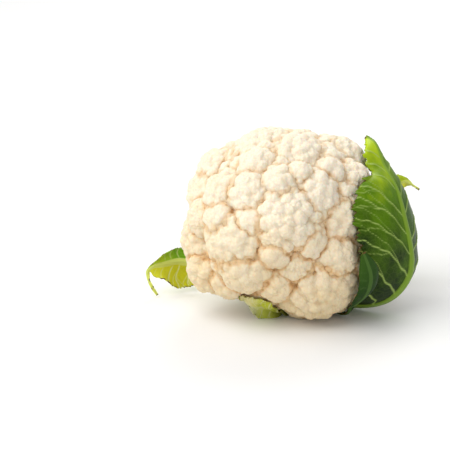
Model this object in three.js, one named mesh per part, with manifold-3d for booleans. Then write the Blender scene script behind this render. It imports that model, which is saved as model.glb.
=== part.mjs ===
// A head of cauliflower, as picked and trimmed. The curd is a ball of florets, each a cluster of round buds,
// on short white branches. A thick stalk, cut flat, comes out under it with the butts of trimmed leaves,
// and five leaves are left on it: a large one wrapped round the right of the head, and four small ones.
// It leans back on its lowest florets and the rim of the cut stalk. Millimetres, +Z up, X to the right and
// -Y to the front. The origin is on the surface, under the middle of the whole head.

import * as THREE from "three";
import { ConvexHull } from "three/addons/math/ConvexHull.js";
import { mergeVertices } from "three/addons/utils/BufferGeometryUtils.js";
import Module from "manifold-3d";

const wasm = await Module();
wasm.setup();

const vec = (x, y, z) => new THREE.Vector3(x, y, z);
const radians = THREE.MathUtils.degToRad;

// Driving dimensions of the curd
const CURD_RADIUS = 85; // from the curd's middle to its outermost florets
const CURD_MIDDLE = vec(-3.7, -2, 80); // the middle of the ball of florets
const CORE_RADIUS = 68; // the branches and inner florets between the outer ones
const CORE_DETAIL = 6;
const CROWN = vec(-0.12, -0.62, 0.77).normalize(); // from the stalk through the curd's top
const FACE_TILT = radians(18); // the front's own plane leans back this far
const SMALLEST_DETAIL = 1.6; // creases finer than this are smoothed away
const GAP = 0.3; // between the curd, the stalk and each leaf where they meet
const GOLDEN_ANGLE = Math.PI * (3 - Math.sqrt(5));

// A repeatable number from 0 to 1 for each whole number
const SCATTER = { step: 12.9898, start: 4.1, spread: 43758.5453 };
const chance = (n) => {
  const s = Math.sin(n * SCATTER.step + SCATTER.start) * SCATTER.spread;
  return s - Math.floor(s);
};

const TO_VIEWER = vec(0, -Math.cos(FACE_TILT), Math.sin(FACE_TILT));
const FACE_UP = vec(0, Math.sin(FACE_TILT), Math.cos(FACE_TILT));
const FRONT_DIP = 0.27; // how far the half that FRONT_FLORETS covers is turned down from the viewer
const LOW_FRONT = TO_VIEWER.clone().addScaledVector(FACE_UP, -FRONT_DIP);

// Florets of the front: [across, up, radius, how far out against the ball, 1 in front or -1 behind]
const FRONT_FLORETS = [
  [-1, 64, 20, 1, -1],
  [15, 55, 22, 1, 1],
  [-21, 49, 13, 1, 1],
  [-19, 62, 15, 0.95, -1],
  [43, 61, 15, 1, -1],
  [56, 56, 17, 1, 1],
  [42, 43, 12, 1, 1],
  [62, 38, 14, 1.1, 1],
  [-56, 47, 16, 1, 1],
  [-35, 51, 15, 0.9, 1],
  [-64, 26, 18, 1, 1],
  [-48, 24, 17, 1, 1],
  [-27, 25, 16, 1, 1],
  [-2, 33, 13, 1, 1],
  [15, 41, 9, 1, 1],
  [29, 24, 18, 1, 1],
  [4, 3, 26, 1, 1],
  [28, 6, 7, 0.9, 1],
  [50, 3, 19, 1, 1],
  [56, 20, 13, 1, 1],
  [-25, 2, 13, 0.94, 1],
  [-52, 3, 13, 1, 1],
  [-67, 4, 14, 1, 1],
  [-38, -15, 24, 1, 1],
  [-30, -41, 24, 1, 1],
  [-68, -16, 19, 1, 1],
  [-47, -35, 12, 0.95, 1],
  [-63, -42, 18, 1, 1],
  [-42, -55, 15, 1, 1],
  [-6, -27, 11, 0.93, 1],
  [24, -16, 13, 0.93, 1],
  [35, -53, 29, 1.2, 1],
  [14, -36, 14, 0.9, 1],
  [48, -30, 16, 1.05, 1],
  [-3, -54, 14, 0.95, 1],
  [62, -36, 12, 1.05, 1],
  [19, -74, 11, 1, 1],
  [56, -65, 12, 1, 1],
];

// Florets of the back and sides, on a golden spiral from the crown down to the branches. A place is taken
// where it is far enough from those before it, as a share of the two radii.
const BACK_FLORETS = {
  tried: 500,
  limit: radians(124), // the spiral ends this far from the crown
  smallest: 19,
  spread: 7, // the largest is this much more than the smallest, in radius
  apart: 0.56,
  sideways: 0.5, // places of the front half are left out, except this far to the right
};

// A place given in the front's own plane and out of it, from the curd's middle
function fromFace([across, up, depth]) {
  const point = CURD_MIDDLE.clone().addScaledVector(FACE_UP, up).addScaledVector(TO_VIEWER, depth);
  point.x += across;
  return point;
}

function frontFloret([across, up, radius, out, side]) {
  const reach = (CURD_RADIUS - radius) * out;
  const depth = side * Math.sqrt(Math.max(0, reach ** 2 - across ** 2 - up ** 2));
  return { middle: fromFace([across, up, depth]), radius };
}

// Each floret grows broader than its first ball, until it presses on its neighbours. Its top stays in place.
const BROADER = { times: 1.3, more: 2 };

function pressed({ middle, radius }) {
  const broad = radius * BROADER.times + BROADER.more;
  const out = middle.clone().sub(CURD_MIDDLE);
  const reach = out.length() + radius - broad;
  return { middle: CURD_MIDDLE.clone().addScaledVector(out.normalize(), reach), radius: broad };
}

// A direction at an angle from an axis and round it
function direction(axis, polar, round) {
  const upright = new THREE.Quaternion().setFromAxisAngle(vec(1, 0, 0), Math.PI / 2);
  const turn = new THREE.Quaternion().setFromUnitVectors(vec(0, 0, 1), axis).multiply(upright);
  return new THREE.Vector3().setFromSphericalCoords(1, polar, round).applyQuaternion(turn);
}

// How far round from an axis the nth of many evenly spread places in a cap lies
const polarOf = (share, cover) => Math.acos(1 - (1 - Math.cos(cover)) * share);

function allFlorets() {
  const florets = FRONT_FLORETS.map(frontFloret);
  const { tried, limit, smallest, spread, apart, sideways } = BACK_FLORETS;
  for (let n = 0; n < tried; n++) {
    const out = direction(CROWN, polarOf((n + 0.5) / tried, limit), n * GOLDEN_ANGLE);
    if (out.dot(LOW_FRONT) > 0 && out.x < sideways) continue;
    const radius = smallest + spread * chance(n);
    const middle = CURD_MIDDLE.clone().addScaledVector(out, CURD_RADIUS - radius);
    if (florets.every((f) => f.middle.distanceTo(middle) > apart * (f.radius + radius)))
      florets.push({ middle, radius });
  }
  return florets.map(pressed);
}

// Buds cover each floret's outer part on a golden spiral, and are smaller and closer towards its top
const BUD = {
  apart: 19.5,
  packing: 0.85, // the ground of one bud, as a share of the square of their spacing
  fewest: 4,
  cover: radians(112),
  crowding: 1.15,
  plump: 0.64, // a bud's radius, as a share of the spacing
  largest: 0.62, // and at most this share of its floret's
  slimmest: 0.85, // the top bud's share of that
  fattening: 0.3, // and how much is added to it down to the lowest
  sunk: 0.8, // the floret's own ball between the buds, as a share of its radius
  turned: 7, // how far round each floret's spiral is turned, at most
  astray: 0.5, // how far a bud may be off the spiral, round it
};

function budsOf({ middle, radius }, seed) {
  const apex = middle.clone().sub(CURD_MIDDLE).normalize();
  const cap = 2 * Math.PI * radius ** 2 * (1 - Math.cos(BUD.cover));
  const count = Math.max(BUD.fewest, Math.round(cap / (BUD.packing * BUD.apart ** 2)));
  const spacing = Math.sqrt(cap / (BUD.packing * count));
  return Array.from({ length: count }, (_, k) => {
    const share = ((k + 0.5) / count) ** BUD.crowding;
    const round = k * GOLDEN_ANGLE + BUD.turned * chance(seed) + BUD.astray * chance(seed + k);
    const wanted = spacing * BUD.plump * (BUD.slimmest + BUD.fattening * share);
    const plump = Math.min(BUD.largest * radius, wanted);
    return { out: direction(apex, polarOf(share, BUD.cover), round), plump, at: radius - plump };
  });
}

// How far a floret reaches from its own middle in a direction: out to its furthest bud
function reachOf(out, buds, radius) {
  let reach = radius * BUD.sunk;
  for (const bud of buds) {
    const along = bud.at * out.dot(bud.out);
    const inside = bud.plump ** 2 - bud.at ** 2 + along ** 2;
    if (inside > 0) reach = Math.max(reach, along + Math.sqrt(inside));
  }
  return reach;
}

// A closed three.js geometry as a solid for joining and cutting, and back
const SAME_PLACE = 1e-4;

function solidOf(geometry) {
  const bare = geometry.clone();
  bare.deleteAttribute("normal");
  bare.deleteAttribute("uv");
  const merged = mergeVertices(bare, SAME_PLACE);
  return new wasm.Manifold(
    new wasm.Mesh({
      numProp: 3,
      vertProperties: new Float32Array(merged.attributes.position.array),
      triVerts: new Uint32Array(merged.index.array),
    }),
  );
}

function geometryOf(solid) {
  const { vertProperties, triVerts } = solid.getMesh();
  const geometry = new THREE.BufferGeometry()
    .setAttribute("position", new THREE.BufferAttribute(vertProperties, 3))
    .setIndex(new THREE.BufferAttribute(triVerts, 1));
  geometry.computeVertexNormals();
  return geometry;
}

// The body of a solid without sealed hollows or loose scraps
const largestOf = (solid) => solid.decompose().reduce((a, b) => (b.volume() > a.volume() ? b : a));

// A floret's faces run from the top of each bud, over a ring part way down, to the crease round it
const RING = 0.56; // how far down the ring is
const ROOT = { count: 4, polar: radians(150) }; // corners that close the floret inside the curd
const FLORET_SEED = 100; // the seeds of two florets are this far apart

function floretSolid(floret, seed) {
  const buds = budsOf(floret, seed);
  const apex = floret.middle.clone().sub(CURD_MIDDLE).normalize();
  const tops = buds.map((bud) => bud.out);
  for (let n = 0; n < ROOT.count; n++)
    tops.push(direction(apex, ROOT.polar, (n * 2 * Math.PI) / ROOT.count));
  const hull = new ConvexHull().setFromPoints(tops);
  const place = (point) => {
    const out = point.clone().normalize();
    return out.multiplyScalar(reachOf(out, buds, floret.radius));
  };
  const corners = [];
  for (const face of hull.faces) {
    const [a, b, c] = [face.edge.tail().point, face.edge.head().point, face.edge.next.head().point];
    const centre = a.clone().add(b).add(c);
    const ring = (p, q) => p.clone().lerp(q, RING / 2);
    for (const [p, q, r] of [[a, b, c], [b, c, a], [c, a, b]]) {
      const [mid, last] = [p.clone().lerp(q, 0.5), p.clone().lerp(r, 0.5)];
      corners.push(p, ring(p, q), ring(p, r));
      corners.push(ring(p, q), mid, centre);
      corners.push(ring(p, q), centre, ring(p, r));
      corners.push(ring(p, r), centre, last);
    }
  }
  const geometry = new THREE.BufferGeometry().setFromPoints(corners.map(place));
  geometry.translate(floret.middle.x, floret.middle.y, floret.middle.z);
  return solidOf(geometry);
}

// The white branches under the curd run from the stalk out to the lowest florets
const BRANCH = { from: 30, root: 13, top: 9, lowest: 0.1, sides: 7 };

function branchSolid(floret) {
  const foot = CURD_MIDDLE.clone().addScaledVector(CROWN, -BRANCH.from);
  const along = floret.middle.clone().sub(foot);
  const geometry = new THREE.CylinderGeometry(BRANCH.top, BRANCH.root, along.length(), BRANCH.sides);
  const turn = new THREE.Quaternion().setFromUnitVectors(vec(0, 1, 0), along.clone().normalize());
  geometry.applyQuaternion(turn);
  geometry.translate(...foot.addScaledVector(along, 0.5));
  return solidOf(geometry);
}

// Driving dimensions of the stalk, measured down from the curd's middle along the crown's line
const STALK = {
  top: 40, // where it enters the curd
  end: 90, // where it is cut
  radius: 19,
  swell: 1, // how much thicker it is half way up
  flare: 25, // its radius under the curd
  flareDown: 8, // and how far below its top that is
  neck: 6, // how much narrower it enters the curd
  bevel: 1.5,
  sides: 28,
};

// The butts of the trimmed leaves stand round the stalk, each an oval cone that widens upwards
const BUTTS = {
  count: 7,
  length: 26,
  wide: 11,
  thick: 6,
  taper: 0.8, // its root, as a share of its width
  smallest: 0.8,
  spread: 0.4, // the largest is this much more than the smallest
  lean: radians(36),
  down: 72, // the lowest root, from the curd's middle
  stagger: 6, // the highest is this much higher
  sunk: 5, // how deep the roots are in the stalk
  sides: 10,
  seeds: { size: 60, height: 80 },
};

function alongStalk(geometry) {
  geometry.applyQuaternion(new THREE.Quaternion().setFromUnitVectors(vec(0, 1, 0), CROWN));
  geometry.translate(...CURD_MIDDLE);
  return geometry;
}

function buttSolid(n, grow) {
  const size = BUTTS.smallest + BUTTS.spread * chance(n + BUTTS.seeds.size);
  const length = BUTTS.length * size;
  const [tip, root] = [BUTTS.wide * size + grow, BUTTS.wide * BUTTS.taper + grow];
  const raised = BUTTS.stagger * chance(n + BUTTS.seeds.height);
  const butt = new THREE.CylinderGeometry(tip, root, length + 2 * grow, BUTTS.sides);
  butt.scale(1, 1, BUTTS.thick / BUTTS.wide);
  butt.translate(0, length / 2, 0);
  butt.rotateX(BUTTS.lean);
  butt.translate(0, -BUTTS.down + raised, STALK.radius - BUTTS.sunk);
  butt.rotateY((n * 2 * Math.PI) / BUTTS.count);
  return solidOf(alongStalk(butt));
}

// The stalk with its butts, or the room for it where it is grown
function stalkSolid(grow = 0) {
  const { top, end, radius, swell, flare, flareDown, neck, bevel, sides } = STALK;
  const profile = [
    [0, -end - grow],
    [radius - bevel + grow, -end - grow],
    [radius + grow, -end + bevel],
    [radius + swell + grow, -(top + end) / 2],
    [flare + grow, -top - flareDown],
    [flare - neck + grow, -top + grow],
    [0, -top + grow],
  ].map(([x, y]) => new THREE.Vector2(x, y));
  let stalk = solidOf(alongStalk(new THREE.LatheGeometry(profile, sides)));
  for (let n = 0; n < BUTTS.count; n++) stalk = stalk.add(buttSolid(n, grow));
  return stalk;
}

const florets = allFlorets();

// The curd is its core, florets and lowest branches joined, less the room for the stalk and the leaves
function curdSolid() {
  const core = solidOf(new THREE.IcosahedronGeometry(CORE_RADIUS, CORE_DETAIL).translate(...CURD_MIDDLE));
  const outward = (f) => f.middle.clone().sub(CURD_MIDDLE).normalize().dot(CROWN);
  const lowest = florets.filter((f) => outward(f) < BRANCH.lowest).map(branchSolid);
  const domes = florets.map((f, n) => floretSolid(f, FLORET_SEED * n));
  const room = Object.values(LEAVES).flatMap((leaf) => [leafSolid(leaf), leafSolid(leaf, GAP)]);
  return wasm.Manifold.union([core, ...domes, ...lowest])
    .simplify(SMALLEST_DETAIL)
    .subtract(wasm.Manifold.union([stalkSolid(GAP), ...room]));
}

// Driving dimensions of the leaves
const BLADE = 1; // how thick a blade is
const PETIOLE = { thick: 3.5, run: 0.3, inner: 0.7 }; // the midrib's root: raised, its share of the length,
// and how much of it is raised on the inner face too
const RIB_TAPER = 0.8; // how much of the midrib's height is lost towards the tip
const WIDEST_RIB = 0.6; // the most of a half blade that the midrib takes
const CLEAR = 1.6; // how far a blade's middle stays from the florets
const RIB_CREST = 0.25; // the column on the midrib's shoulder
const RIB_EDGE = 0.42; // the column where the midrib meets the blade
const COLUMNS = [-1, -0.8, -0.6, -RIB_EDGE, -RIB_CREST]; // from an edge to the midrib, as shares
const RIPPLE_LAG = 2; // the right edge's ripples lag behind the left edge's, in radians

// Each row is the midrib, the left edge and the right edge, each [across, up, depth] from the curd's middle.
// Teeth are bites out of the edge, by their number and their share of the width. Waves ripple the edge, by
// their number and height. Sag bows each half outwards, by a share of its width.
const LEAVES = {
  leaf_large: {
    colour: 0x4d8a24,
    slices: 36,
    teeth: { count: 12, depth: 0.07 },
    wave: { count: 5, height: 1.5 },
    sag: [0.08, 0.15],
    rib: { root: 7.5, tip: 1.6, raised: 2.6 },
    rows: [
      [[8, -38, -58], [6, -32, -54], [10, -44, -62]],
      [[34, -62, -44], [31, -55, -39], [36, -68, -49]],
      [[64, -72, -18], [60, -67, -11], [68, -71, -26]],
      [[85, -70, -6], [68, -66, 12], [90, -68, -17]],
      [[97, -65, 0], [69, -57, 27], [102, -61, -12]],
      [[105, -57, 5], [71, -45, 37], [111, -52, -10]],
      [[111, -47, 9], [70, -32, 46], [115, -38, -22]],
      [[113, -35, 13], [67, -20, 53], [112, -24, -40]],
      [[112, -24, 16], [66, -8, 57], [110, -11, -46]],
      [[110, -13, 19], [64, 4, 58], [109, 1, -46]],
      [[107, 0, 20], [63, 14, 57], [106, 12, -44]],
      [[104, 14, 18], [64, 25, 53], [103, 23, -41]],
      [[100, 28, 14], [68, 35, 45], [99, 33, -36]],
      [[94, 40, 9], [79, 43, 27], [95, 43, -28]],
      [[89, 50, 4], [73, 49, 22], [91, 53, -20]],
      [[86, 60, -1], [74, 60, 13], [88, 61, -14]],
      [[82, 69, -6], [77, 69, 1], [84, 69, -11]],
      [[75, 74, -10], [74, 73, -9], [75.5, 75, -11]],
    ],
  },
  leaf_inner: {
    colour: 0x3f7a22,
    slices: 12,
    teeth: { count: 4, depth: 0.03 },
    wave: { count: 2, height: 0.6 },
    sag: [0.1, 0.1],
    rib: { root: 4, tip: 1, raised: 1.2 },
    rows: [
      [[16, -44, -41], [16, -41, -38], [16, -47, -44]],
      [[38, -68, -20], [36, -66, -16], [40, -69, -24]],
      [[57, -73, 8], [54, -71, 10], [60, -74, 5]],
      [[66, -69, 26], [59, -71, 25], [72, -65, 25]],
      [[74, -59, 39], [64, -62, 40], [81, -54, 37]],
      [[76, -46, 49], [66, -50, 48], [83, -43, 46]],
      [[73, -35, 56], [66, -39, 53], [79, -33, 54]],
      [[69, -26, 61], [67, -28, 60], [71, -25, 61]],
    ],
  },
  leaf_front: {
    colour: 0xa3b458,
    slices: 14,
    teeth: { count: 5, depth: 0.12 },
    wave: { count: 3, height: 1 },
    sag: [0.1, 0.1],
    rib: { root: 4, tip: 0.8, raised: 1 },
    rows: [
      [[2, -40, -62], [6, -38, -60], [-2, -42, -64]],
      [[8, -62, -40], [12, -61, -39], [4, -63, -42]],
      [[6, -75, -14], [9, -72, -12], [3, -78, -16]],
      [[-1, -77, -3], [1, -71, 3], [-1, -84, -6]],
      [[-9, -75, 5], [-7, -67, 14], [-9, -85, -2]],
      [[-17, -72, 11], [-14, -62, 21], [-18, -85, 0]],
      [[-24, -69, 14], [-21, -60, 23], [-24, -79, 6]],
      [[-30, -67, 15], [-29, -63, 17], [-30, -70, 13]],
    ],
  },
  leaf_left: {
    colour: 0x9db82c,
    slices: 18,
    teeth: { count: 6, depth: 0.1 },
    wave: { count: 3, height: 1.2 },
    sag: [0.12, 0.12],
    rib: { root: 5, tip: 1, raised: 1.6 },
    rows: [
      [[-6, -39, -60], [-6, -35, -59], [-6, -43, -62]],
      [[-45, -43, -64], [-45, -38, -64], [-45, -48, -64]],
      [[-76, -37, -66], [-76, -24, -68], [-73, -52, -68]],
      [[-89, -35, -62], [-87, -22, -66], [-83, -58, -62]],
      [[-96, -36, -58], [-94, -24, -60], [-94, -58, -55]],
      [[-104, -38, -52], [-102, -28, -54], [-104, -51, -51]],
      [[-111, -39, -48], [-109, -34, -49], [-111, -49, -49]],
      [[-115, -43, -48], [-117, -42, -47], [-112, -46, -49]],
      [[-115, -51, -50], [-117, -51, -50], [-113, -51, -50]],
      [[-112, -59, -50], [-114, -60, -50], [-110, -58, -50]],
      [[-108, -65, -50], [-109, -66, -50], [-107, -64, -50]],
    ],
  },
  leaf_rear: {
    colour: 0xa8c23a,
    slices: 18,
    teeth: { count: 6, depth: 0.1 },
    wave: { count: 3, height: 1.5 },
    sag: [0.12, 0.12],
    rib: { root: 5, tip: 1, raised: 1.8 },
    rows: [
      [[10, -34, -68], [8, -30, -68], [12, -38, -68]],
      [[40, -36, -84], [37, -30, -84], [43, -42, -83]],
      [[68, -26, -86], [56, -8, -88], [77, -40, -80]],
      [[88, -8, -82], [70, 12, -84], [100, -24, -72]],
      [[99, 8, -74], [82, 30, -74], [112, -8, -64]],
      [[105, 23, -65], [93, 40, -64], [113, 14, -58]],
      [[109, 34, -57], [104, 42, -57], [110, 27, -54]],
      [[113, 36, -52], [112, 40, -52], [112, 32, -52]],
      [[118, 31, -50], [119, 33, -50], [117, 29, -50]],
      [[125, 28, -48], [125, 29, -48], [125, 27, -48]],
    ],
  },
};

// Moves a point of a blade straight out from the curd's middle until it clears every floret
function clearOfCurd(point) {
  const out = point.clone().sub(CURD_MIDDLE);
  const far = out.length();
  out.normalize();
  let least = far;
  for (const { middle, radius } of florets) {
    const to = middle.clone().sub(CURD_MIDDLE);
    const along = to.dot(out);
    const inside = (radius + CLEAR) ** 2 - to.lengthSq() + along ** 2;
    if (inside > 0 && far > along - Math.sqrt(inside)) least = Math.max(least, along + Math.sqrt(inside));
  }
  return CURD_MIDDLE.clone().addScaledVector(out, least);
}

// Where a column lies from the midrib to the edge, once the midrib has its true width
function shareOf(column, near) {
  if (column > RIB_EDGE) return near + ((1 - near) * (column - RIB_EDGE)) / (1 - RIB_EDGE);
  if (column === RIB_EDGE) return near;
  return column === RIB_CREST ? near / 2 : 0;
}

function leafSolid({ rows, slices, teeth, wave, sag, rib }, grow = 0) {
  const [spine, left, right] = [0, 1, 2].map(
    (n) => new THREE.CatmullRomCurve3(rows.map((row) => fromFace(row[n]))),
  );
  const shares = [...COLUMNS, 0, ...COLUMNS.map((v) => -v).reverse()];
  const grid = [];
  for (let i = 0; i <= slices; i++) {
    const t = i / slices;
    const middle = spine.getPoint(t);
    const sides = [left.getPoint(t).sub(middle), right.getPoint(t).sub(middle)];
    const outward = sides[1].clone().sub(sides[0]).cross(spine.getTangent(t)).normalize();
    const tooth = 1 - teeth.depth * (((t * teeth.count) % 1) + (chance(i) - 0.5));
    const width = rib.root + (rib.tip - rib.root) * t;
    const line = shares.map((v) => {
      const [side, bulge, lag] = v < 0 ? [sides[0], sag[0], 0] : [sides[1], sag[1], RIPPLE_LAG];
      const long = side.length();
      const reach = Math.abs(v) === 1 ? long * tooth + grow : long;
      const near = Math.min(WIDEST_RIB, width / long);
      const share = shareOf(Math.abs(v), near);
      const ripple = wave.height * share ** 2 * Math.sin(2 * Math.PI * wave.count * t + lag);
      const point = middle.clone().addScaledVector(side, (share * reach) / long);
      point.addScaledVector(outward, 4 * share * (1 - share) * bulge * long + ripple);
      const swell = Math.abs(v) < RIB_EDGE ? Math.sqrt(1 - (share / near) ** 2) : 0;
      return { point: clearOfCurd(point), swell };
    });
    grid.push({ line, t });
  }
  return closedBlade(grid, rib, grow);
}

// Closes a grid of points into a blade of even thickness, with the midrib raised on its outer face
function closedBlade(grid, rib, grow) {
  const [rowCount, columnCount] = [grid.length, grid[0].line.length];
  const at = (i, j) =>
    grid[Math.min(rowCount - 1, Math.max(0, i))].line[Math.min(columnCount - 1, Math.max(0, j))].point;
  const points = [];
  for (const face of [1, -1]) {
    for (let i = 0; i < rowCount; i++) {
      const { line, t } = grid[i];
      for (let j = 0; j < columnCount; j++) {
        const across = at(i, j + 1).clone().sub(at(i, j - 1));
        const normal = across.cross(at(i + 1, j).clone().sub(at(i - 1, j))).normalize();
        const petiole = PETIOLE.thick * Math.max(0, 1 - t / PETIOLE.run);
        const crest = Math.max(petiole, rib.raised * (1 - RIB_TAPER * t));
        const raised = face > 0 ? crest : petiole * PETIOLE.inner;
        const offset = BLADE / 2 + raised * line[j].swell + grow;
        points.push(line[j].point.clone().addScaledVector(normal, face * offset));
      }
    }
  }
  const index = [];
  const place = (face, i, j) => face * rowCount * columnCount + i * columnCount + j;
  const quad = (a, b, c, d) => index.push(a, b, c, a, c, d);
  for (let i = 0; i + 1 < rowCount; i++) {
    for (let j = 0; j + 1 < columnCount; j++) {
      quad(place(0, i, j), place(0, i, j + 1), place(0, i + 1, j + 1), place(0, i + 1, j));
      quad(place(1, i, j), place(1, i + 1, j), place(1, i + 1, j + 1), place(1, i, j + 1));
    }
    quad(place(0, i, 0), place(0, i + 1, 0), place(1, i + 1, 0), place(1, i, 0));
    const last = columnCount - 1;
    quad(place(0, i, last), place(1, i, last), place(1, i + 1, last), place(0, i + 1, last));
  }
  for (let j = 0; j + 1 < columnCount; j++) {
    const end = rowCount - 1;
    quad(place(0, 0, j), place(1, 0, j), place(1, 0, j + 1), place(0, 0, j + 1));
    quad(place(0, end, j), place(0, end, j + 1), place(1, end, j + 1), place(1, end, j));
  }
  const geometry = new THREE.BufferGeometry().setFromPoints(points);
  geometry.setIndex(index);
  return solidOf(geometry);
}

// Everything above the surface: this leaves a small flat under each piece that stands on it
const ROOM = 600;
const aboveSurface = solidOf(new THREE.BoxGeometry(ROOM, ROOM, ROOM).translate(0, 0, ROOM / 2));

// Each piece's finish
const CURD_FINISH = { color: 0xf2e6c9, roughness: 0.75 };
const STALK_FINISH = { color: 0xdfe3b4, roughness: 0.6 };
const LEAF_ROUGHNESS = 0.5;

const head = new THREE.Group();
head.name = "cauliflower";

function addPiece(name, solid, finish) {
  const material = new THREE.MeshStandardMaterial({ ...finish, metalness: 0 });
  const mesh = new THREE.Mesh(geometryOf(largestOf(solid.intersect(aboveSurface))), material);
  mesh.name = name;
  head.add(mesh);
}

addPiece("curd", curdSolid(), CURD_FINISH);
addPiece("stalk", stalkSolid(), STALK_FINISH);
const stalkRoom = stalkSolid(GAP);
for (const [name, leaf] of Object.entries(LEAVES)) {
  const finish = { color: leaf.colour, roughness: LEAF_ROUGHNESS };
  addPiece(name, leafSolid(leaf).subtract(stalkRoom), finish);
}

export default head;
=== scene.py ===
"""A head of cauliflower lying on a pale surface, with its cut stalk behind it and a few leaves left on.

Lengths are in millimetres, and each mesh is scaled to metres as it is finished.
"""

from itertools import product
from math import cos, pi, radians, sin, sqrt

import bmesh
import bpy
import numpy as np
from mathutils import Matrix, Vector


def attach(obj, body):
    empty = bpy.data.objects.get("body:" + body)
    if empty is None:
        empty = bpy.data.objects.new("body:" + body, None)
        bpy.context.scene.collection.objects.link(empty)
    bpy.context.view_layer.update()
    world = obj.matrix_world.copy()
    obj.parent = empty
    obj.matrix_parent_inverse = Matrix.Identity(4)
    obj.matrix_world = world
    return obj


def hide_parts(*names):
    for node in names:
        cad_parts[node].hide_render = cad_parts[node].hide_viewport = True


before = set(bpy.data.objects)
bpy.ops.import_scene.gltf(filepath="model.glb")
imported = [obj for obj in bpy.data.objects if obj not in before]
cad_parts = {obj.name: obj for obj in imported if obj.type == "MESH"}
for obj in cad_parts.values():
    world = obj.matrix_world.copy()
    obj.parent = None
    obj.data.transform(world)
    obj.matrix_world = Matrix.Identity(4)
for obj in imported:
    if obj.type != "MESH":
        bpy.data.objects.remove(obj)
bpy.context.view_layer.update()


# The florets are the domes that cover the curd. Each is one branch's end, a dense cluster of round buds
# of cream flower tissue, pressed against its neighbours. The crown of the curd points up and forward.

MM = 0.001

# The curd is nearly a ball, with its crown tipped towards the front
CURD_MIDDLE = np.array([-3.7, -2.0, 80.0])
CURD_RADIUS = 85.0
CROWN = np.array([-0.12, -0.62, 0.77])
CROWN = CROWN / np.linalg.norm(CROWN)
GOLDEN_ANGLE = pi * (3 - sqrt(5))

# The plane of the curd's front leans back, and places on it are given across it, up it and out of it
FACE_TILT, FRONT_DIP = radians(18), 0.27
TO_VIEWER = np.array([0.0, -cos(FACE_TILT), sin(FACE_TILT)])
FACE_UP = np.array([0.0, sin(FACE_TILT), cos(FACE_TILT)])
ACROSS = np.array([1.0, 0.0, 0.0])
LOW_FRONT = TO_VIEWER - FRONT_DIP * FACE_UP

# Florets of the front: across, up, radius, how far out against the ball, and 1 in front or -1 behind
FRONT_FLORETS = [
    (-1, 64, 20, 1, -1),
    (15, 55, 22, 1, 1),
    (-21, 49, 13, 1, 1),
    (-19, 62, 15, 0.95, -1),
    (43, 61, 15, 1, -1),
    (56, 56, 17, 1, 1),
    (42, 43, 12, 1, 1),
    (62, 38, 14, 1.1, 1),
    (-56, 47, 16, 1, 1),
    (-35, 51, 15, 0.9, 1),
    (-64, 26, 18, 1, 1),
    (-48, 24, 17, 1, 1),
    (-27, 25, 16, 1, 1),
    (-2, 33, 13, 1, 1),
    (15, 41, 9, 1, 1),
    (29, 24, 18, 1, 1),
    (4, 3, 26, 1, 1),
    (28, 6, 7, 0.9, 1),
    (50, 3, 19, 1, 1),
    (56, 20, 13, 1, 1),
    (-25, 2, 13, 0.94, 1),
    (-52, 3, 13, 1, 1),
    (-67, 4, 14, 1, 1),
    (-38, -15, 24, 1, 1),
    (-31, -37, 22, 1, 1),
    (-68, -16, 19, 1, 1),
    (-47, -35, 12, 0.95, 1),
    (-63, -42, 18, 1, 1),
    (-46, -52, 14, 1, 1),
    (-6, -27, 11, 0.93, 1),
    (24, -16, 13, 0.93, 1),
    (35, -53, 29, 1.2, 1),
    (14, -36, 14, 0.9, 1),
    (48, -30, 16, 1.05, 1),
    (-3, -54, 14, 0.95, 1),
    (62, -36, 12, 1.05, 1),
    (19, -74, 11, 1, 1),
    (56, -65, 12, 1, 1),
]

# Florets of the rest are tried along a spiral from the crown, and kept where they have room. Their radii
# and the room they need are given, and how far round to the side the front's own florets reach.
BACK_TRIED, BACK_LIMIT, BACK_RADII = 500, radians(124), (19, 7)
BACK_APART, SIDEWAYS = 0.56, 0.5

# Young florets fill the gaps between the others, wherever the curd would be lower than this
YOUNG_TRIED, YOUNG_LIMIT, YOUNG_RADII = 1600, radians(118), (9.0, 5.0)
YOUNG_BELOW, YOUNG_TOP, YOUNG_APART = 73.5, 77.0, 0.85

# Each floret is broader than the ball that its own dome would fill, so it presses on its neighbours
BROADER, BROADER_BY = 1.38, 2.0


def chance(n):
    """A repeatable number from 0 to 1 for each whole number."""
    s = np.sin(n * 12.9898 + 4.1) * 43758.5453
    return s - np.floor(s)


def varied(least_and_spread, n):
    """A repeatable value that is at least one number, and at most that plus a spread."""
    least, spread = least_and_spread
    return least + spread * chance(n)


def spiral_polar(n, count, limit):
    """The angle from the axis of the nth of many places that cover a cap evenly."""
    return np.arccos(1 - (1 - cos(limit)) * (n + 0.5) / count)


def direction(axis, polar, around):
    """A direction at an angle from an axis, and round it."""
    turn = Vector((0, 0, 1)).rotation_difference(Vector(axis))
    flat = Vector((sin(polar) * sin(around), -sin(polar) * cos(around), cos(polar)))
    return np.array(turn @ flat)


def broad(middle, radius):
    """A broader floret with its top in the same place."""
    reach = np.linalg.norm(middle - CURD_MIDDLE)
    broader = radius * BROADER + BROADER_BY
    return CURD_MIDDLE + (middle - CURD_MIDDLE) * (reach + radius - broader) / reach, broader


def surface_along(out, florets):
    """How far the florets reach from the curd's middle in one direction."""
    far = 0.0
    for middle, radius in florets:
        to = middle - CURD_MIDDLE
        inside = radius**2 - to @ to + (out @ to) ** 2
        if inside > 0:
            far = max(far, out @ to + sqrt(inside))
    return far


def outward_of(middle):
    """The direction of a place from the curd's middle."""
    return (middle - CURD_MIDDLE) / np.linalg.norm(middle - CURD_MIDDLE)


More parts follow.
